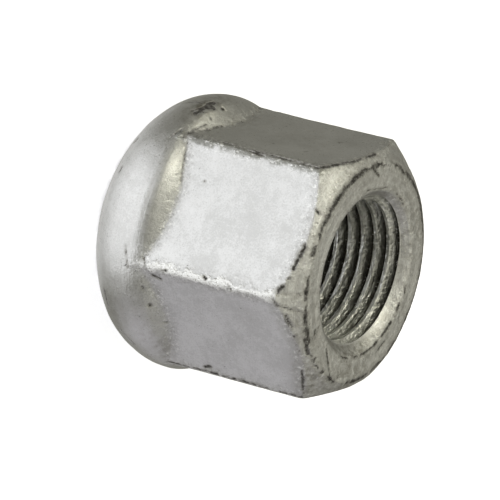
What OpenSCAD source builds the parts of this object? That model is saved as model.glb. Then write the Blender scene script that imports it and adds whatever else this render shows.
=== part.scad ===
// Wheel nut: a hexagon forged onto a round collar whose underside is a ball seat.
// It stands on the seat end, with its bore along +Z and the origin at the centre of that end.

/* [Thread] */
// Nominal (major) diameter of the thread
thread_d = 16; // [12:0.5:17]
// Thread pitch
thread_pitch = 1.5; // [1:0.25:2]
// How far each countersink's mouth stands outside the thread's major diameter, all round
mouth_step = 0.45; // [0.1:0.05:1.2]
// Included angle of the countersink in the hexagon's end face
face_sink_angle = 90; // [50:5:120]
// Included angle of the countersink in the seat end
seat_sink_angle = 90; // [50:5:120]

/* [Hexagon] */
// Height of the whole nut, from the seat end to the hexagon's end face
nut_h = 25.5; // [23:0.5:34]
// Width across the hexagon's flats
across_flats = 24; // [23:0.5:28]
// Radius along the hexagon's six corner edges
corner_r = 0.9; // [0.3:0.1:2.5]
// How far inside the flats the end face stops, all round
face_step = 0.95; // [0.2:0.05:1.6]
// Slope of the corner chamfer, measured from the end face
chamfer_angle = 38; // [20:1:50]

/* [Collar] */
// How far the collar stands outside the hexagon's corners, all round
collar_step = 0.3; // [0.1:0.05:2]
// Slope of the shoulder that runs down off the flats, measured from the bore's axis
shoulder_angle = 48; // [35:1:60]
// Radius between the shoulder and the collar's widest circle
shoulder_r = 2.7; // [0.5:0.1:4]

/* [Seat] */
// Radius of the ball that the seat is part of
ball_r = 18; // [16.5:0.5:24]
// Radius between the ball and the collar's widest circle
edge_r = 6.5; // [2:0.5:8]
// Outer diameter of the flat ring at the end of the seat
seat_ring_d = 19.5; // [18.5:0.5:21]

/* [Hidden] */
// Facets in a full turn, for the preview
$fn = 120;
// Length by which a cutter passes the surface that it opens
over = 1;
// How far each radius of the collar stands proud of the surface that it runs into, and the turn by
// which it runs on inside that surface, so that the two meet in one clean line
lap = 0.001;
lap_turn = 10;
// Radius that the thread's crests leave open: half the basic minor diameter of a 60 degree thread
minor_r = thread_d / 2 - 0.625 * thread_pitch * cos(30);
mouth_r = thread_d / 2 + mouth_step;
flat_r = across_flats / 2;
// Where each corner's rounding is centred, and how far out the rounded corners reach
corner_centre_r = (flat_r - corner_r) / cos(30);
corner_reach_r = corner_centre_r + corner_r;
face_r = flat_r - face_step;
// The ball's centre lies on the axis, at the height that gives the seat ring its diameter
ball_z = sqrt(pow(ball_r, 2) - pow(seat_ring_d / 2, 2));
// The collar's edge radius touches the ball from inside, which sets the height of the widest circle
collar_r = corner_reach_r + collar_step;
edge_centre_r = collar_r - edge_r;
edge_turn = acos(edge_centre_r / (ball_r - edge_r));
widest_z = ball_z - edge_centre_r * tan(edge_turn);
shoulder_centre_r = collar_r - shoulder_r;

function polar(r, turn) = [r * cos(turn), r * sin(turn)];

// Part of a disc between two turns, both measured from the outward direction
module sector(r, from, to) {
    reach = 1.5 * r;
    intersection() {
        circle(r);
        polygon([[0, 0], polar(reach, from), polar(reach, (from + to) / 2), polar(reach, to)]);
    }
}

// Outline of the hexagon with its corners rounded
module rounded_hexagon() {
    half_flat = corner_centre_r * sin(30);
    polygon([
        for (side = [0:5])
            for (end = [-1, 1])
                polar(flat_r, 60 * side + 30) + end * polar(half_flat, 60 * side + 120)
    ]);
    for (corner = [0:5])
        rotate(60 * corner)
            translate([corner_centre_r, 0])
                circle(corner_r);
}

// The hexagon, with its corners turned off to the chamfer at the end face
module hexagon() {
    chamfer_h = (corner_reach_r + over - face_r) * tan(chamfer_angle);
    intersection() {
        translate([0, 0, widest_z])
            linear_extrude(nut_h - widest_z)
                rounded_hexagon();
        rotate_extrude()
            polygon([
                [0, 0],
                [corner_reach_r + over, 0],
                [corner_reach_r + over, nut_h - chamfer_h],
                [face_r, nut_h],
                [0, nut_h]
            ]);
    }
}

// Half section of the collar in the plane of the axis: ball, edge radius, shoulder radius, shoulder
module collar_section() {
    shoulder_foot = [shoulder_centre_r, widest_z] + polar(shoulder_r, shoulder_angle);
    shoulder_top_z = shoulder_foot[1] + (shoulder_foot[0] - minor_r) / tan(shoulder_angle);
    polygon([
        [0, 0],
        [collar_r, widest_z],
        shoulder_foot,
        [minor_r, shoulder_top_z],
        [0, shoulder_top_z]
    ]);
    intersection() {
        translate([0, ball_z])
            sector(ball_r, -90, -edge_turn);
        square([ball_r, ball_z]);
    }
    translate([edge_centre_r, widest_z])
        sector(edge_r + lap, -edge_turn - lap_turn, 0);
    translate([shoulder_centre_r, widest_z])
        sector(shoulder_r + 2 * lap, -lap_turn, shoulder_angle + lap_turn);
}

// Threaded bore at its minor diameter, opened out to a countersink at each end
module bore() {
    face_sink_h = (mouth_r - minor_r) / tan(face_sink_angle / 2);
    seat_sink_h = (mouth_r - minor_r) / tan(seat_sink_angle / 2);
    translate([0, 0, -over])
        cylinder(r = minor_r, h = nut_h + 2 * over);
    translate([0, 0, nut_h - face_sink_h])
        cylinder(r1 = minor_r, r2 = mouth_r, h = face_sink_h);
    cylinder(r1 = mouth_r, r2 = minor_r, h = seat_sink_h);
}

module wheel_nut() {
    color("silver")
        difference() {
            union() {
                hexagon();
                rotate_extrude()
                    collar_section();
            }
            bore();
        }
}

wheel_nut();
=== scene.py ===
import math
import bpy
import numpy as np
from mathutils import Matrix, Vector, noise


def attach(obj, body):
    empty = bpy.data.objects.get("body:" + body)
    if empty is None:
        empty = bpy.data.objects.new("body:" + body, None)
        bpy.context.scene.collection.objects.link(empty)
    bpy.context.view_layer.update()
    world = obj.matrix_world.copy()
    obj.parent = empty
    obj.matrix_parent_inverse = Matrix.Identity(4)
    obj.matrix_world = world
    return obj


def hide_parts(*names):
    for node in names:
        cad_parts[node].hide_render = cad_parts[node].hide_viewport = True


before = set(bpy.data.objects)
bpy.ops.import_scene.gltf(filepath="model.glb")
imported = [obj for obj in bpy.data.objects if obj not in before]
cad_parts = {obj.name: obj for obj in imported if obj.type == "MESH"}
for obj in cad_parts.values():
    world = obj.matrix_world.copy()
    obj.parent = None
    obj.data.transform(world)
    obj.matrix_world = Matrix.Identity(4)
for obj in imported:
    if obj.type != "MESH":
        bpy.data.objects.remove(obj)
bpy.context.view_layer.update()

mm = 0.001


def deselectAll():
    bpy.ops.object.select_all(action="DESELECT")


def makeActive(obj):
    deselectAll()
    obj.select_set(True)
    bpy.context.view_layer.objects.active = obj


def applyModifier(obj, kind, **settings):
    makeActive(obj)
    mod = obj.modifiers.new(kind.title(), kind)
    for name, value in settings.items():
        setattr(mod, name, value)
    bpy.ops.object.modifier_apply(modifier=mod.name)


def combine(obj, other, how):
    applyModifier(obj, "BOOLEAN", operation=how, solver="EXACT", object=other)
    bpy.data.objects.remove(other, do_unlink=True)


view = {
    "place": (-499.77, 179.92, 317.57),      # mm
    "turn": (-23.438, -57.081, 7.451),       # degrees, rolled so that the bore points right
    "lens": 444.8,
    "sensor": 36,
    "clipStart": 10,                         # mm
}

cam = bpy.data.objects.new("Camera", bpy.data.cameras.new("Camera"))
bpy.context.collection.objects.link(cam)
cam.location = [v * mm for v in view["place"]]
cam.rotation_euler = [math.radians(v) for v in view["turn"]]
cam.data.lens = view["lens"]
cam.data.sensor_width = view["sensor"]
cam.data.clip_start = view["clipStart"] * mm
bpy.context.scene.camera = cam
print("camera set")


# the nut is modelled in millimetres and shrunk to metres at the end
nut = {
    "height": 25.5,
    "acrossFlats": 24.0,
    "cornerRadius": 0.9,
    "endFaceRadius": 11.05,
    "chamferAngle": 38,       # from the end face
    "collarRadius": 14.0,
    "widestHeight": 6.43,     # of the collar's widest circle
    "shoulderAngle": 48,      # from the axis
    "shoulderRadius": 2.7,
    "coneTop": 7.5,           # radius at which the shoulder's cone ends, inside the hexagon
    "edgeRadius": 6.5,
    "ballRadius": 18.0,
    "seatRingRadius": 9.75,
    "threadRadius": 8.0,
    "pitch": 1.5,
    "threadStart": -3.72,     # height at which the helix starts, which sets where its turns lie
    "rootRounding": (0.03, 0.02),      # of the groove's bottom corners, inwards and sideways
    "mouthRadius": 8.45,
    "faceSinkAngle": 90,      # included
    "seatSinkAngle": 90,
    "boreStock": 0.3,         # left in the bore for the thread's cutter to take
    "roundSides": 144,
    "arcSteps": (4, 14, 8),   # ball seat, edge radius, shoulder radius
    "cornerSteps": 6,
    "threadSteps": 96,        # in each turn
    "voxel": 0.205,
    "softening": (0.5, 3),    # factor and number of passes
    "smoothAngle": 35,
}
hexTurn = math.radians(30)         # half the turn from one corner of the hexagon to the next
threadFlank = math.radians(30)     # each flank's lean
# a metric thread is cut five eighths as deep as a sharp one
minorRadius = nut["threadRadius"] - 0.625 * nut["pitch"] * math.cos(threadFlank)


def turnedForm(name, profile):
    # a round bar drawn up ring by ring: profile is (radius, height) from the bottom
    sides = nut["roundSides"]
    (r0, z0), (r1, z1) = profile[:2]
    middle = z0 + 0.5
    deselectAll()
    bpy.ops.mesh.primitive_cylinder_add(vertices=sides, radius=r0, depth=1, location=(0, 0, middle))
    obj = bpy.context.object
    obj.name = name
    bpy.ops.object.transform_apply(location=True, rotation=True, scale=True)
    me = obj.data
    for v in me.vertices:
        if v.co.z > middle:
            v.co = (v.co.x * r1 / r0, v.co.y * r1 / r0, z1)
    # only the top face is selected, and drawn up
    for part in (*me.vertices, *me.edges, *me.polygons):
        part.select = False
    for p in me.polygons:
        if p.center.z > z1 - 1e-4 and abs(p.normal.z) > 0.99 and len(p.vertices) == sides:
            p.select = True
            for i in p.vertices:
                me.vertices[i].select = True
    bpy.ops.object.mode_set(mode="EDIT")
    bpy.ops.mesh.select_mode(type="FACE")
    for (ra, za), (rb, zb) in zip(profile[1:], profile[2:]):
        bpy.ops.mesh.extrude_region_move(TRANSFORM_OT_translate={"value": (0, 0, zb - za)})
        bpy.ops.transform.resize(value=(rb / ra, rb / ra, 1), center_override=(0, 0, zb))
    bpy.ops.mesh.select_all(action="SELECT")
    bpy.ops.mesh.normals_make_consistent(inside=False)
    bpy.ops.object.mode_set(mode="OBJECT")
    return obj


def arc(cx, cz, r, start, end, steps):
    turns = [math.radians(start + (end - start) * i / steps) for i in range(steps + 1)]
    return [(cx + r * math.cos(t), cz + r * math.sin(t)) for t in turns]


def collarForm():
    # ball seat, edge radius, shoulder radius and the shoulder's cone
    ballZ = math.sqrt(nut["ballRadius"] ** 2 - nut["seatRingRadius"] ** 2)
    edgeX = nut["collarRadius"] - nut["edgeRadius"]
    shoulderX = nut["collarRadius"] - nut["shoulderRadius"]
    z = nut["widestHeight"]
    ballSteps, edgeSteps, shoulderSteps = nut["arcSteps"]
    ballEnd = math.degrees(math.acos(edgeX / (nut["ballRadius"] - nut["edgeRadius"])))
    ballStart = math.degrees(math.asin(ballZ / nut["ballRadius"]))
    profile = arc(0, ballZ, nut["ballRadius"], -ballStart, -ballEnd, ballSteps)
    profile += arc(edgeX, z, nut["edgeRadius"], -ballEnd, 0, edgeSteps)[1:]
    profile += arc(shoulderX, z, nut["shoulderRadius"], 0, nut["shoulderAngle"], shoulderSteps)[1:]
    r, top = profile[-1]
    rise = (r - nut["coneTop"]) / math.tan(math.radians(nut["shoulderAngle"]))
    profile.append((nut["coneTop"], top + rise))
    return turnedForm("collar", profile)


def hexForm():
    flat = nut["acrossFlats"] / 2
    corner = flat / math.cos(hexTurn)
    low = nut["widestHeight"]
    deselectAll()
    bpy.ops.mesh.primitive_cylinder_add(vertices=6, radius=corner, depth=nut["height"] - low,
                                        location=(0, 0, (nut["height"] + low) / 2),
                                        rotation=(0, 0, hexTurn))
    obj = bpy.context.object
    bpy.ops.object.transform_apply(location=True, rotation=True, scale=True)
    me = obj.data
    for part in (*me.vertices, *me.polygons):
        part.select = False
    for e in me.edges:
        a, b = (me.vertices[i].co for i in e.vertices)
        e.select = abs(a.z - b.z) > 1      # the six upright ones
    bpy.ops.object.mode_set(mode="EDIT")
    bpy.ops.mesh.select_mode(type="EDGE")
    bpy.ops.mesh.bevel(offset=nut["cornerRadius"] * math.tan(hexTurn), segments=nut["cornerSteps"],
                       affect="EDGES")
    bpy.ops.object.mode_set(mode="OBJECT")
    # chamfer the end by keeping what lies inside a turned form
    over = 1
    reach = corner + over
    drop = (reach - nut["endFaceRadius"]) * math.tan(math.radians(nut["chamferAngle"]))
    turned = turnedForm("turned", [(reach, 0), (reach, nut["height"] - drop),
                                   (nut["endFaceRadius"], nut["height"])])
    combine(obj, turned, "INTERSECT")
    return obj


def boreForm():
    # smaller than the thread, which is cut last, so only the countersinks stay
    over = 0.5
    r = minorRadius - nut["boreStock"]
    wide = nut["mouthRadius"]
    top = nut["height"]
    faceSlope = math.tan(math.radians(nut["faceSinkAngle"] / 2))
    seatSlope = math.tan(math.radians(nut["seatSinkAngle"] / 2))
    return turnedForm("boreCutter", [(wide + over * seatSlope, -over), (r, (wide - r) / seatSlope),
                                     (r, top - (wide - r) / faceSlope),
                                     (wide + over * faceSlope, top + over)])


def threadForm():
    # one turn's outline is carried round the axis, and both ends are cut off level
    over = 0.8
    weld = 0.001
    p = nut["pitch"]
    big = nut["threadRadius"]
    flank = (big - minorRadius) * math.tan(threadFlank)
    crest = p / 4
    root = p - crest - 2 * flank
    turns = int((nut["height"] - 2 * nut["threadStart"]) / p)
    inset, ease = nut["rootRounding"]
    section = [(minorRadius, 0), (minorRadius, crest), (big - inset, crest + flank - ease),
               (big, crest + flank + root / 2), (big - inset, crest + flank + root + ease),
               (minorRadius, p)]
    deselectAll()
    me = bpy.data.meshes.new("threadCutter")
    me.from_pydata([(r, 0, z + nut["threadStart"]) for r, z in section],
                   [(i, i + 1) for i in range(len(section) - 1)], [])
    obj = bpy.data.objects.new("threadCutter", me)
    bpy.context.collection.objects.link(obj)
    steps = nut["threadSteps"]
    applyModifier(obj, "SCREW", angle=math.radians(360), screw_offset=p, iterations=turns,
                  steps=steps, render_steps=steps, use_merge_vertices=True, merge_threshold=weld)
    bpy.ops.object.mode_set(mode="EDIT")
    bpy.ops.mesh.select_all(action="SELECT")
    bpy.ops.mesh.remove_doubles(threshold=weld)
    for z, upper in ((-over, False), (nut["height"] + over, True)):
        bpy.ops.mesh.select_all(action="SELECT")
        bpy.ops.mesh.bisect(plane_co=(0, 0, z), plane_no=(0, 0, 1), use_fill=True,
                            clear_inner=not upper, clear_outer=upper)
    bpy.ops.mesh.select_all(action="SELECT")
    bpy.ops.mesh.normals_make_consistent(inside=False)
    bpy.ops.object.mode_set(mode="OBJECT")
    return obj


# lengths are in millimetres, and broken is 0 for an unbroken line and 1 for scattered bits
wear = {
    # unevenness: depth, size, strength of the noise, seed
    "swell": (0.07, 4.5, 1.4, 0),
    "ripple": (0.035, 1.4, 1.4, 1),
    "threadNicks": (0.05, 0.6, 1.0, 7),
    # the two noises that break lines up: strength, size, seed
    "ragged": [(1.4, 1.4, 3), (1.3, 0.5, 4)],
    "raggedLine": 1.6,
    "raggedKnock": 0.5,
    "thinnest": 0.06,             # half width under which a line fades out
    "settle": 0.06,               # how far the worn edges lie inside the sharp ones
    "rampSpared": 0.30,           # the ramps' edges are less battered than the others
    "chipDepth": 0.08,
    "chipSlope": (0.1, 0.3),      # how far inside its edge a chip is deepest, and the slope's width
    "knockSteepness": 1.8,        # of a knock's edge beside that of a line
    "knockRadius": 13,            # at which the knocks on the sides are laid out
    "knockSpread": 0.5,           # how quickly a knock on the end face is lost below it
    "mouthMargin": 0.5,           # the outside's wear starts this far beyond the countersink
    "dirtAndShadeInset": 1,               # how far the dirt and painted shade reach into the mouth
    "runOut": 1.3,                # the shoulder radius's mean slope where the corners run out on it
    "endZone": (1.4, 0.2),        # the end's marks fade over 0.2 mm, and are gone 1.4 times as far away
    "onSink": 0.06,               # how near its cone a place still belongs to the countersink
    "boreMargin": 0.02,           # over the thread's radius
    # dark lines along the hexagon's corners: azimuth, half width, broken
    "corners": [(60, 0.07, 0.8), (118.6, 0.11, 0.6), (238.8, 0.20, 0.55), (299, 0.16, 0.7),
                (1, 0.15, 0.7)],
    # dark lines round the nut, partly worn dirt and partly painted shadow along the ramps' creases,
    # under the front flat's rolled lip and inside the mouth: azimuth, half width and broken at stations
    # between which they change
    "chamferArcs": [(0, 0.12, 0.6), (62, 0.08, 0.8), (85, 0.12, 0.5), (100, 0.14, 0.4),
                    (118, 0.18, 0.25), (123, 0.0, 0.9), (140, 0.0, 1.0), (148, 0.05, 0.7),
                    (156, 0.11, 0.7), (178, 0.12, 0.6), (184, 0.05, 0.9), (200, 0.05, 0.9),
                    (222, 0.04, 0.9), (238, 0.13, 0.6), (250, 0.20, 0.2), (290, 0.19, 0.25),
                    (320, 0.14, 0.5)],
    "rim": [(0, 0.20, 0.25), (40, 0.26, 0.25), (75, 0.12, 0.6), (97, 0.16, 0.3), (125, 0.15, 0.25),
            (150, 0.12, 0.35), (185, 0.11, 0.45), (205, 0.17, 0.4), (230, 0.09, 0.7),
            (260, 0.13, 0.5), (310, 0.18, 0.3)],
    "mouth": [(0, 0.08, 0.8), (60, 0.05, 0.9), (150, 0.04, 0.9), (230, 0.08, 0.9),
              (262, 0.13, 0.35), (320, 0.11, 0.4)],
    "rampArcs": [(0, 0.08, 0.8), (60, 0.10, 0.8), (80, 0.13, 0.6), (118, 0.16, 0.45), (124, 0, 0),
                 (238, 0, 0), (300, 0.08, 0.8)],
    "seatRim": [(0, 0.16, 0.7), (120, 0.22, 0.5), (240, 0.14, 0.8)],
    # grey scuffed bands along the corners: azimuth, half width, broken
    "scuffed": [(121.4, 0.52, 0.35), (59.5, 0.20, 0.7), (299, 0.25, 0.6), (242, 0.20, 0.8)],
    # bright bands along the corners, rubbed wear on most and a painted highlight along the rounded
    # corner at 179.6: azimuth, half width, broken
    "rubbedAndHighlight": [(60, 0.20, 0.6), (179.6, 0.64, 0.35), (240.5, 0.16, 0.8),
               (300, 0.20, 0.7), (0, 0.20, 0.7)],
    # knocks on the sides: azimuth and height at each end, half width
    "sideKnocks": [
        (118.7, 8.6, 119.4, 15.0, 0.05), (119.2, 15.5, 120.4, 23.2, 0.10),
        (107, 7.0, 93, 7.1, 0.26), (106, 6.4, 97, 7.6, 0.23), (99, 4.8, 98, 6.2, 0.13),
        (94, 8.1, 93, 8.2, 0.15), (103, 8.1, 104, 8.3, 0.06), (104, 7.3, 104, 7.4, 0.08),
        (125, 6.5, 117, 7.2, 0.08), (119, 7.8, 108, 8.4, 0.05), (120, 15.0, 121, 16.8, 0.09),
        (137, 11.6, 137, 11.7, 0.04), (106, 19.5, 105, 19.6, 0.05), (137, 24.5, 138, 24.9, 0.09),
        (188, 24.2, 194, 24.6, 0.05), (203, 25.3, 212, 25.3, 0.12), (177, 8.1, 180, 8.4, 0.10),
        (184, 9.1, 185, 10.0, 0.10), (180, 10.3, 180, 10.8, 0.13), (178, 15.2, 179, 15.5, 0.10),
        (179, 18.0, 181, 18.4, 0.10), (190, 8.0, 191, 8.1, 0.07), (199, 8.4, 200, 8.5, 0.08),
        (211, 9.1, 212, 9.3, 0.07), (198, 3.0, 207, 3.2, 0.09), (217, 4.2, 224, 5.4, 0.09),
        (236, 12.2, 235, 12.9, 0.15), (123, 8.3, 139, 9.2, 0.02), (178, 24.0, 178, 25.4, 0.04),
        (183, 23.7, 187, 25.3, 0.05), (222, 24.4, 234, 23.8, 0.12), (182, 6.6, 173, 6.1, 0.04),
        (143, 2.3, 141, 2.4, 0.15), (126, 2.1, 124, 2.2, 0.12), (106, 15.7, 106, 15.8, 0.11),
        (82, 20.1, 81, 20.3, 0.11), (305, 14.0, 312, 15.1, 0.12), (345, 18.6, 344, 19.8, 0.12),
        (20, 12.2, 26, 12.4, 0.11), (275, 20.5, 275, 20.6, 0.13), (330, 5.2, 338, 5.4, 0.14),
        (30, 6.9, 42, 7.0, 0.16),
    ],
    # knocks on the end face: radius and azimuth at each end, half width
    "faceKnocks": [
        (10.8, 198, 11.1, 204, 0.13), (10.9, 91, 10.4, 89, 0.14), (10.4, 89, 9.9, 84, 0.12),
        (9.0, 224, 10.9, 241, 0.09), (10.1, 250, 10.7, 248, 0.10), (8.5, 337, 8.8, 334, 0.14),
        (8.8, 97, 8.7, 71, 0.05), (8.6, 57, 8.6, 46, 0.07), (9.6, 203, 9.9, 205, 0.10),
        (9.6, 12, 9.9, 9, 0.07), (9.3, 300, 9.4, 292, 0.07),
    ],
    # dark places, partly dirt and partly painted shade, as on the lower side of the collar: azimuth,
    # height, reach round the nut, reach along it, amount
    "dirtAndShade": [(99, 6.8, 4.2, 1.5, 0.95), (119, 8.0, 2.4, 1.2, 0.50), (86, 6.5, 3.0, 1.0, 0.45),
             (90, 16.0, 7.0, 9.0, 0.28), (86, 10.0, 5.0, 3.0, 0.40),
             (232, 24.4, 4.0, 1.4, 0.75), (196, 24.9, 5.0, 1.2, 0.55), (226, 8.3, 2.6, 1.0, 0.6),
             (262, 25.3, 5.0, 2.0, 0.75), (217, 7.6, 3.0, 1.6, 0.4),
             (30, 25.3, 9.0, 2.4, 0.55), (300, 25.3, 9.0, 2.0, 0.45), (105, 25.2, 5.0, 1.4, 0.45),
             (205, 4.0, 6.0, 2.0, 0.35), (300, 6.0, 10.0, 2.5, 0.45), (20, 6.5, 9.0, 2.2, 0.45),
             (330, 17.0, 6.0, 6.0, 0.30)],
}
far = 9.0      # stands for a place with no wear near it


def points(obj):
    co = np.empty(len(obj.data.vertices) * 3)
    obj.data.vertices.foreach_get("co", co)
    return co.reshape(-1, 3)


def cloud(co, size, seed):
    # smooth noise from about -1 to 1, with lumps about this many millimetres across
    shift = Vector((17.3 * seed, 9.1 * seed, 5.7 * seed))
    return np.array([noise.noise(Vector(c) / size + shift) for c in co])


def hollows(co, depth, size, strength, seed):
    # from 0 on the high places to depth in the hollows
    return depth * (0.5 + 0.5 * np.clip(strength * cloud(co, size, seed), -1, 1))


def stations(turn, rows):
    azimuth, width, broken = zip(*rows)
    return (np.interp(turn, azimuth, width, period=360), np.interp(turn, azimuth, broken, period=360))


def gapToBand(distance, width, broken, rough):
    # below zero inside the band, whose edge comes and goes with the noise
    reach = width * (1 - broken + wear["raggedLine"] * broken * rough)
    thinnest = wear["thinnest"]
    return distance - reach + 6 * np.clip(thinnest - reach, 0, thinnest)


def acrossFrom(turn, azimuth, r):
    # distance round the nut from this azimuth
    return np.radians((turn - azimuth + 180) % 360 - 180) * r


def alongSegment(u, v, endU, endV):
    length = max(endU * endU + endV * endV, 1e-9)
    t = np.clip((u * endU + v * endV) / length, 0, 1)
    return np.hypot(u - t * endU, v - t * endV)


def polar(r, azimuth):
    return r * math.cos(math.radians(azimuth)), r * math.sin(math.radians(azimuth))


def wearFields(co):
    x, y, z = co.T
    r = np.hypot(x, y)
    turn = np.degrees(np.arctan2(y, x)) % 360
    top = nut["height"]
    flat = nut["acrossFlats"] / 2
    mouth = nut["mouthRadius"]
    # depth under the nearest flat, under the chamfer, and height over the shoulder's cone
    inside = np.min([flat - x * math.cos(math.radians(a)) - y * math.sin(math.radians(a))
                     for a in range(30, 390, 60)], axis=0)
    slope = math.radians(nut["chamferAngle"])
    chamfer = (top - z) * math.cos(slope) - (r - nut["endFaceRadius"]) * math.sin(slope)
    lean = math.radians(nut["shoulderAngle"])
    footRadius = nut["collarRadius"] - nut["shoulderRadius"] * (1 - math.cos(lean))
    footHeight = nut["widestHeight"] + nut["shoulderRadius"] * math.sin(lean)
    ramp = (z - footHeight) * math.sin(lean) + (r - footRadius) * math.cos(lean)
    # the corners' edges run out on the shoulder radius, and end at the chamfer
    cornerReach = (flat - nut["cornerRadius"]) / math.cos(hexTurn) + nut["cornerRadius"]
    cornerFoot = footHeight - (cornerReach - footRadius) * wear["runOut"]
    cornerTop = top - (cornerReach - nut["endFaceRadius"]) * math.tan(slope)
    pastEnds = np.maximum(0, np.maximum(cornerFoot - z, z - cornerTop))
    outer = r > mouth + wear["mouthMargin"]
    rough = sum(strength * cloud(co, size, seed) for strength, size, seed in wear["ragged"])
    rough = np.clip(rough, -1, 1)

    def cornerBands(rows):
        gap = np.full(len(co), far)
        for azimuth, width, broken in rows:
            distance = np.hypot(acrossFrom(turn, azimuth, r), pastEnds)
            gap = np.minimum(gap, np.where(outer, gapToBand(distance, width, broken, rough), far))
        return gap

    dark = cornerBands(wear["corners"])
    toCorner = np.radians(30 - abs(turn % 60 - 30)) * r
    edge = np.where(outer, np.hypot(toCorner, pastEnds), far)
    settle = wear["settle"]
    rings = [("chamferArcs", np.hypot(inside, chamfer) - settle, 0),
             ("rim", np.hypot(top - z, chamfer) - settle, 0),
             ("mouth", np.hypot(top - z, r - mouth) - settle, 0),
             ("seatRim", np.hypot(z, r - nut["seatRingRadius"]) - settle, 0),
             ("rampArcs", np.hypot(inside, ramp), wear["rampSpared"])]
    for name, distance, spared in rings:
        dark = np.minimum(dark, gapToBand(distance, *stations(turn, wear[name]), rough))
        edge = np.minimum(edge, distance + spared)

    knocks = np.full(len(co), far)
    swelling = 1 + wear["raggedKnock"] * rough
    for a, low, b, high, width in wear["sideKnocks"]:
        length = math.radians(b - a) * wear["knockRadius"]
        gap = alongSegment(acrossFrom(turn, a, r), z - low, length, high - low)
        knocks = np.minimum(knocks, np.where(outer, gap - width * swelling, far))
    for ra, a, rb, b, width in wear["faceKnocks"]:
        (ax, ay), (bx, by) = polar(ra, a), polar(rb, b)
        gap = alongSegment(x - ax, y - ay, bx - ax, by - ay)
        gap = np.hypot(gap, wear["knockSpread"] * (top - z))
        knocks = np.minimum(knocks, gap - width * swelling)

    dirtAndShade = np.zeros(len(co))
    for azimuth, middle, reach, rise, amount in wear["dirtAndShade"]:
        near = np.exp(-(acrossFrom(turn, azimuth, r) / reach) ** 2 - ((z - middle) / rise) ** 2)
        dirtAndShade = np.maximum(dirtAndShade, np.where(r > mouth - wear["dirtAndShadeInset"], near * amount, 0))

    # how far it is to the end face, its chamfer or its countersink
    sink = (top - z) - (mouth - r)
    toEnd = np.minimum(np.minimum(abs(chamfer), top - z), np.where(r < mouth, abs(sink), far))
    start, fall = wear["endZone"]
    return {"darkGap": np.minimum(dark, wear["knockSteepness"] * knocks), "edgeGap": edge,
            "rubbedAndHighlightGap": cornerBands(wear["rubbedAndHighlight"]), "scuffedGap": cornerBands(wear["scuffed"]),
            "dirtAndShade": dirtAndShade, "endZone": np.clip(start - toEnd / fall, 0, 1)}


def weather(obj):
    # the fields are worked out on the unworn shape and stored for the material to read
    co = points(obj)
    fields = wearFields(co)
    r = np.hypot(co[:, 0], co[:, 1])
    z = co[:, 2]
    wide = nut["mouthRadius"]
    toSink = np.minimum(abs((nut["height"] - z) - (wide - r)), abs(z - (wide - r)))
    inBore = (r < nut["threadRadius"] + wear["boreMargin"]) & (toSink >= wear["onSink"])
    groove = (r - minorRadius) / (nut["threadRadius"] - minorRadius)
    fields["groove"] = np.where(inBore, np.clip(groove, 0, 1), -1.0)
    for name, values in fields.items():
        layer = obj.data.attributes.new(name, "FLOAT", "POINT")
        layer.data.foreach_set("value", values.astype(np.float32))

    # everything is pressed inwards, so the nut never grows past its true size
    depth = hollows(co, *wear["swell"]) + hollows(co, *wear["ripple"])
    deepest, slope = wear["chipSlope"]
    depth += wear["chipDepth"] * np.clip(1 - (fields["darkGap"] + deepest) / slope, 0, 1)
    depth[inBore] = hollows(co[inBore], *wear["threadNicks"])
    normals = np.empty(len(co) * 3)
    obj.data.vertices.foreach_get("normal", normals)
    co -= normals.reshape(-1, 3) * depth[:, None]
    obj.data.vertices.foreach_set("co", co.ravel())
    obj.data.update()


body = hexForm()
body.name = "wheelNut"
combine(body, collarForm(), "UNION")
combine(body, boreForm(), "DIFFERENCE")
print("forged form", len(body.data.polygons), "faces")
applyModifier(body, "REMESH", mode="VOXEL", voxel_size=nut["voxel"])
softness, passes = nut["softening"]
applyModifier(body, "SMOOTH", factor=softness, iterations=passes)
print("remeshed", len(body.data.polygons), "faces")
combine(body, threadForm(), "DIFFERENCE")
weather(body)
body.data.calc_loop_triangles()
print("thread cut", len(body.data.loop_triangles), "triangles")

body.scale = (mm, mm, mm)
makeActive(body)
bpy.ops.object.transform_apply(location=True, rotation=True, scale=True)
bpy.ops.object.shade_smooth_by_angle(angle=math.radians(nut["smoothAngle"]))
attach(body, "root")
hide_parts("wheel_nut")


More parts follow.
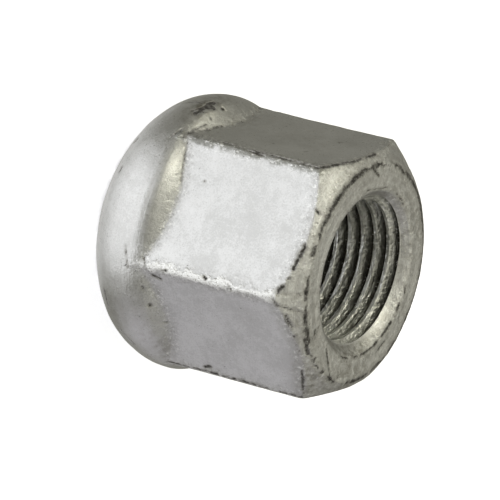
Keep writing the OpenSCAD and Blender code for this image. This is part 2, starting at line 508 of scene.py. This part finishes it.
zinc = {
    "light": (0.66, 0.66, 0.66),
    "dull": (0.53, 0.53, 0.525),
    "rubbedAndHighlight": (0.90, 0.90, 0.89),
    "scuffed": (0.30, 0.30, 0.28),
    "sootAndShadow": (0.030, 0.027, 0.024),
    "filmAndShade": (0.22, 0.205, 0.18),           # thin dirt beside the dark chips, and painted shade beside the painted shadow lines
    "face": (0.75, 0.755, 0.75),           # the turned end
    "stain": (0.57, 0.56, 0.555),
    # the thread's colours, light on the crests and dark in the roots, paint the shade that falls into
    # its grooves
    "root": (0.27, 0.27, 0.25),
    "rootShadowLine": (0.06, 0.057, 0.048),      # painted shadow: a black line at the very bottom of the thread
    "flank": (0.57, 0.57, 0.54),
    "crest": (0.78, 0.78, 0.75),
    "fringe": 0.44,                        # fine raggedness of the layers' edges, millimetres
    "coarseFringe": 0.5,                   # coarse raggedness, millimetres
    "chipRoughness": 0.40,                 # added to the plate's own
    "filmRoughness": 0.16,
    "chipMetal": 0.7,                      # taken off the plate's metallic look

    # even noises: lumps in a millimetre, detail, roughness
    "noise": {
        "patches": (0.28, 2, 0.5), "mottle": (1.3, 4, 0.6), "grain": (5.5, 4, 0.65),
        "cloudy": (1.8, 3, 0.5), "patina": (2.2, 3, 0.6), "pepper": (5.0, 3, 0.7),
        "bruise": (2.7, 4, 0.7), "burr": (2.5, 3, 0.7), "scatter": (3.0, 3, 0.5),
        "paintedGlint": (3.0, 3, 0.7), "torn": (2.6, 2, 0.5),
    },
    # drawn-out noises: turn in degrees, lumps in a millimetre each way, detail, roughness
    "streaks": {
        "turning": ((0, 0, 0), (0.10, 0.10, 4.2), 3, 0.6),
        "brushed": ((35, 22, 0), (0.25, 0.25, 5.5), 3, 0.6),
        "scored": ((-50, 15, 40), (0.18, 3.2, 0.18), 2, 0.5),
        "toolMark": ((0, 0, 0), (0.45, 0.45, 4.2), 2, 0.6),
    },
    "facing": (5.0, 3, 0.6),               # rings in a millimetre of the end face, detail, roughness
    "facingShares": (0.6, 0.5),            # of the rings and of the cloudy noise
    "plateShares": (0.45, 0.9),            # of the large noises and of the fine one
    "flecks": 1.5,                         # flecks that could stand along a millimetre

    # where each layer starts and where it is full, and what it runs from and to if not 0 and 1
    "fade": {
        "plate": (0.76, 1.04), "brushed": (0.82, 1.0, 0.0, 0.30), "collar": (9.0, 7.6),
        "streak": (0.52, 0.40), "stained": (0.95, 1.25, 0.75, 0.0),
        "chipAndShadowLine": (0.10, -0.12), "patina": (0.62, 0.42, 0.72, 1.0), "filmAndShade": (0.42, -0.05, 0.0, 0.5),
        "soiledAndShaded": (0.60, 0.92), "rubbedAndHighlight": (0.14, -0.12), "scuffed": (0.22, -0.22),
        "bruised": (1.5, 0.1), "bruise": (0.56, 0.68, 0.0, 0.55), "burr": (0.55, 0.62),
        "nearRubbedAndHighlight": (0.9, 0.1, -0.18, 0.02), "pepper": (0.60, 0.66),
        "nearDarkLine": (1.3, 0.1, 0.0, 0.16), "fleckPick": (0.945, 0.965), "fleckEdge": (0.16, 0.09),
        "scratch": (0.66, 0.72), "inBore": (-0.3, -0.05), "flank": (0.02, 0.10),
        "root": (0.40, 1.05), "rootShadowLine": (0.92, 1.0), "darkMark": (0.52, 0.64, 0.0, 0.65),
        "brightMark": (0.47, 0.37, 0.0, 0.55), "paintedGlint": (0.60, 0.65),
        "roughness": (0.3, 0.7, 0.27, 0.42),
    },
    # how much of a second noise joins in
    "join": {
        "brushed": 0.5, "chipAndShadowLine": 0.4, "soiledAndShaded": 0.5, "bruised": 2.0, "marks": 0.3, "root": 0.5,
        "rootShadowLine": 0.2,
    },
    # how much of what lies under it each layer hides
    "cover": {
        "streak": 0.28, "scuffed": 0.85, "burr": 0.9, "pepper": 0.75, "scratch": 0.10,
        "fleck": 0.75, "paintedGlint": 0.7,
    },
    # relief in millimetres
    "relief": {
        "grain": 0.038, "bruise": 0.14, "battered": 0.07, "mottle": 0.016, "brushed": 0.013,
        "chipAndShadowLine": -0.035, "fleck": -0.02, "scratch": -0.002, "turning": 0.042, "facing": 0.075,
        "torn": 0.13, "toolMark": 0.13,
    },
}


def zincPlate():
    mat = bpy.data.materials.new("zinc plate")
    mat.use_nodes = True
    tree = mat.node_tree
    shader = tree.nodes["Principled BSDF"]

    def add(kind, inputs, **settings):
        made = tree.nodes.new("ShaderNode" + kind)
        for key, value in settings.items():
            setattr(made, key, value)
        for key, value in inputs.items():
            if isinstance(value, bpy.types.NodeSocket):
                tree.links.new(value, made.inputs[key])
            else:
                made.inputs[key].default_value = value
        return made

    def calc(how, a, b):
        return add("Math", {0: a, 1: b}, operation=how).outputs[0]

    def plus(a, b):
        return calc("ADD", a, b)

    def times(a, b):
        return calc("MULTIPLY", a, b)

    def most(a, b):
        return calc("MAXIMUM", a, b)

    def join(name, a, b):
        return plus(a, times(b, zinc["join"][name]))

    def fade(value, name):
        start, end, low, high = (*zinc["fade"][name], 0.0, 1.0)[:4]
        return add("MapRange", {"Value": value, "From Min": start, "From Max": end, "To Min": low,
                                "To Max": high}, interpolation_type="SMOOTHSTEP").outputs["Result"]

    def blend(amount, a, b):
        colours = [c if isinstance(c, bpy.types.NodeSocket) else (*c, 1) for c in (a, b)]
        return add("Mix", {0: amount, 6: colours[0], 7: colours[1]}, data_type="RGBA").outputs[2]

    def cover(name, layer, under, colour):
        return blend(times(layer, zinc["cover"][name]), under, zinc[colour])

    def grainy(at, scale, detail, roughness):
        return add("TexNoise", {"Vector": at, "Scale": scale, "Detail": detail,
                                "Roughness": roughness}).outputs["Fac"]

    def lumps(name):
        return grainy(place, *zinc["noise"][name])

    def streaks(name):
        turn, scale, detail, roughness = zinc["streaks"][name]
        turned = add("Mapping", {"Vector": place, "Rotation": [math.radians(a) for a in turn]})
        drawn = add("Mapping", {"Vector": turned.outputs[0], "Scale": scale})
        return grainy(drawn.outputs[0], 1.0, detail, roughness)

    def stored(name):
        return add("Attribute", {}, attribute_name=name).outputs["Fac"]

    place = add("Mapping", {"Vector": add("TexCoord", {}).outputs["Object"],
                            "Scale": (1 / mm, 1 / mm, 1 / mm)}).outputs[0]
    height = add("SeparateXYZ", {"Vector": place}).outputs["Z"]
    darkGap, edgeGap, rubbedAndHighlightGap = stored("darkGap"), stored("edgeGap"), stored("rubbedAndHighlightGap")
    scuffedGap, dirtAndShade, endZone, groove = (stored(n) for n in ("scuffedGap", "dirtAndShade", "endZone", "groove"))

    mottle, grain, bruise = lumps("mottle"), lumps("grain"), lumps("bruise")
    turning, brushed, toolMark = streaks("turning"), streaks("brushed"), streaks("toolMark")
    onCollar = fade(height, "collar")
    # both swing evenly about zero
    fringe = times(plus(grain, -0.5), zinc["fringe"])
    coarse = times(plus(mottle, -0.5), zinc["coarseFringe"])

    # rings about the axis, for the turned end
    level = add("Mapping", {"Vector": place, "Scale": (1, 1, 0)}).outputs[0]
    across = add("VectorMath", {0: level}, operation="LENGTH").outputs["Value"]
    density, detail, roughness = zinc["facing"]
    rings = add("CombineXYZ", {0: times(across, density), 1: height}).outputs[0]
    ringed, clouded = zinc["facingShares"]
    facing = plus(times(grainy(rings, 1.0, detail, roughness), ringed), times(lumps("cloudy"), clouded))

    # masks of the wear, whose edges the noises break up
    chipAndShadowLine = fade(plus(darkGap, join("chipAndShadowLine", fringe, coarse)), "chipAndShadowLine")
    chipAndShadowLine = times(chipAndShadowLine, fade(lumps("patina"), "patina"))
    # a dark film beside the dark lines: dirt beside the chips, painted shade beside the painted shadow
    # lines
    filmAndShade = fade(plus(darkGap, coarse), "filmAndShade")
    soiledAndShaded = times(dirtAndShade, fade(join("soiledAndShaded", mottle, grain), "soiledAndShaded"))
    rubbedAndHighlight = fade(plus(rubbedAndHighlightGap, plus(fringe, coarse)), "rubbedAndHighlight")
    scuffed = fade(plus(scuffedGap, plus(fringe, coarse)), "scuffed")
    pepper = fade(plus(lumps("pepper"), fade(rubbedAndHighlightGap, "nearRubbedAndHighlight")), "pepper")
    bruised = fade(join("bruised", edgeGap, coarse), "bruised")
    burr = times(bruised, fade(lumps("burr"), "burr"))
    scattered = add("VectorMath", {0: place, 1: lumps("scatter")}).outputs[0]
    speck = add("TexVoronoi", {"Vector": scattered, "Scale": zinc["flecks"]})
    picked = add("SeparateColor", {"Color": speck.outputs["Color"]}).outputs[0]
    picked = fade(plus(picked, fade(darkGap, "nearDarkLine")), "fleckPick")
    fleck = times(fade(speck.outputs["Distance"], "fleckEdge"), picked)
    scratch = fade(streaks("scored"), "scratch")

    # the plate itself, then the turned end, then the wear, with the dark chips and painted shadow lines
    # last
    large, fine = zinc["plateShares"]
    tone = plus(times(plus(lumps("patches"), mottle), large), times(grain, fine))
    colour = blend(fade(tone, "plate"), zinc["dull"], zinc["light"])
    colour = blend(fade(join("brushed", brushed, mottle), "brushed"), colour, zinc["stain"])
    colour = cover("streak", times(onCollar, fade(turning, "streak")), colour, "stain")
    end = blend(fade(plus(facing, grain), "stained"), zinc["face"], zinc["stain"])
    colour = blend(endZone, colour, end)
    colour = cover("scuffed", scuffed, colour, "scuffed")
    colour = blend(times(bruised, fade(bruise, "bruise")), colour, zinc["filmAndShade"])
    # painted highlight: the wide bright band along the corner at 179.6 degrees, with rubbed wear along
    # the other corners
    colour = blend(most(rubbedAndHighlight, times(burr, zinc["cover"]["burr"])), colour, zinc["rubbedAndHighlight"])
    colour = cover("pepper", pepper, colour, "filmAndShade")
    colour = cover("scratch", scratch, colour, "rubbedAndHighlight")
    # dirt with painted shade: the dark film beside the lines and the dark patches, one of them painted
    # shade low on the collar
    colour = blend(most(filmAndShade, soiledAndShaded), colour, zinc["filmAndShade"])
    colour = cover("fleck", fleck, colour, "sootAndShadow")
    colour = blend(chipAndShadowLine, colour, zinc["sootAndShadow"])

    # the thread, from its crests down to its roots, darkened into the roots as painted shade
    inBore = fade(groove, "inBore")
    marks = join("marks", toolMark, coarse)
    steel = blend(fade(groove, "flank"), zinc["crest"], zinc["flank"])
    steel = blend(fade(marks, "darkMark"), steel, zinc["root"])
    steel = blend(fade(marks, "brightMark"), steel, zinc["rubbedAndHighlight"])
    steel = blend(fade(join("root", groove, coarse), "root"), steel, zinc["root"])
    # painted shadow: a thin black line along the bottom of each groove
    steel = blend(fade(join("rootShadowLine", groove, coarse), "rootShadowLine"), steel, zinc["rootShadowLine"])
    # painted highlights: bright flecks scattered over the thread stand in for glints of light
    steel = cover("paintedGlint", fade(lumps("paintedGlint"), "paintedGlint"), steel, "rubbedAndHighlight")
    tree.links.new(blend(inBore, colour, steel), shader.inputs["Base Color"])
    tree.links.new(calc("SUBTRACT", 1.0, times(chipAndShadowLine, zinc["chipMetal"])), shader.inputs["Metallic"])

    dirty = most(times(chipAndShadowLine, zinc["chipRoughness"]), times(filmAndShade, zinc["filmRoughness"]))
    tree.links.new(plus(fade(grain, "roughness"), dirty), shader.inputs["Roughness"])

    layers = {
        "grain": grain, "bruise": times(bruise, bruised),
        "battered": times(grain, most(rubbedAndHighlight, scuffed)), "mottle": mottle, "brushed": brushed,
        "chipAndShadowLine": chipAndShadowLine, "fleck": fleck, "scratch": scratch, "turning": times(turning, onCollar),
        "facing": times(facing, endZone), "torn": times(lumps("torn"), inBore),
        "toolMark": times(marks, inBore),
    }
    relief = 0.0
    for name, layer in layers.items():
        relief = plus(relief, times(layer, zinc["relief"][name]))
    bump = add("Bump", {"Height": relief, "Distance": mm, "Strength": 1.0})
    tree.links.new(bump.outputs[0], shader.inputs["Normal"])
    return mat


body.data.materials.clear()
body.data.materials.append(zincPlate())
print("zinc plate made")


ground = {
    "size": 3,                                # metres
    "colour": (0.86, 0.86, 0.86),
    "roughness": 0.9,
    "glow": (0.95, 0.955, 0.98),
    "glowStrength": 0.72,
}


def paleFloor():
    deselectAll()
    bpy.ops.mesh.primitive_plane_add(size=ground["size"], location=(0, 0, 0))
    floor = bpy.context.object
    floor.name = "floor"
    mat = bpy.data.materials.new("pale floor")
    mat.use_nodes = True
    shader = mat.node_tree.nodes["Principled BSDF"]
    shader.inputs["Base Color"].default_value = (*ground["colour"], 1)
    shader.inputs["Roughness"].default_value = ground["roughness"]
    shader.inputs["Emission Color"].default_value = (*ground["glow"], 1)
    shader.inputs["Emission Strength"].default_value = ground["glowStrength"]
    floor.data.materials.append(mat)
    floor.visible_glossy = False      # the nut mirrors the panels round it, not the table
    floor.visible_shadow = False


paleFloor()


# each lamp is (azimuth, height, distance, width, depth, brightness, colour), aimed at the nut:
# turns in degrees, lengths in metres
lamps = {
    "keyPanel": (158, -40, 0.50, 0.88, 1.18, 1.16, (0.955, 0.97, 1.0)),
    "lowPanel": (262, -6, 0.50, 0.46, 0.76, 0.41, (0.88, 0.86, 1.0)),
    "underPanel": (350, -64, 0.50, 0.36, 0.34, 0.55, (0.96, 0.97, 1.0)),
    "overhead": (0, 80, 0.60, 1.15, 1.15, 0.46, (1.0, 0.985, 0.84)),
    "warmLamp": (96, 40, 0.45, 0.09, 0.22, 6.9, (1.0, 0.985, 0.82)),
    "sideLamp": (65, 22, 0.50, 0.11, 0.18, 2.5, (1.0, 0.985, 0.78)),
}
studio = {
    "aimHeight": 12,                          # mm
    "colour": (1.0, 0.98, 0.84),
    "strength": 0.27,
}


def addLamp(name, azimuth, height, distance, width, depth, brightness, colour):
    az, el = math.radians(azimuth), math.radians(height)
    data = bpy.data.lights.new(name, "AREA")
    data.shape = "RECTANGLE"
    data.size = width
    data.size_y = depth
    data.energy = brightness * math.pi * width * depth      # a big panel looks as bright as a small one
    data.color = colour
    obj = bpy.data.objects.new(name, data)
    bpy.context.collection.objects.link(obj)
    aim = Vector((0, 0, studio["aimHeight"] * mm))
    towards = Vector((math.cos(az) * math.cos(el), math.sin(az) * math.cos(el), math.sin(el)))
    obj.location = aim + distance * towards
    obj.rotation_euler = (obj.location - aim).to_track_quat("Z", "Y").to_euler()
    obj.visible_camera = False


for name, lamp in lamps.items():
    addLamp(name, *lamp)

world = bpy.data.worlds.new("studio")
world.use_nodes = True
world.node_tree.nodes["Background"].inputs["Color"].default_value = (*studio["colour"], 1)
world.node_tree.nodes["Background"].inputs["Strength"].default_value = studio["strength"]
bpy.context.scene.world = world
bpy.context.scene.view_settings.view_transform = "Standard"
print("lights set")
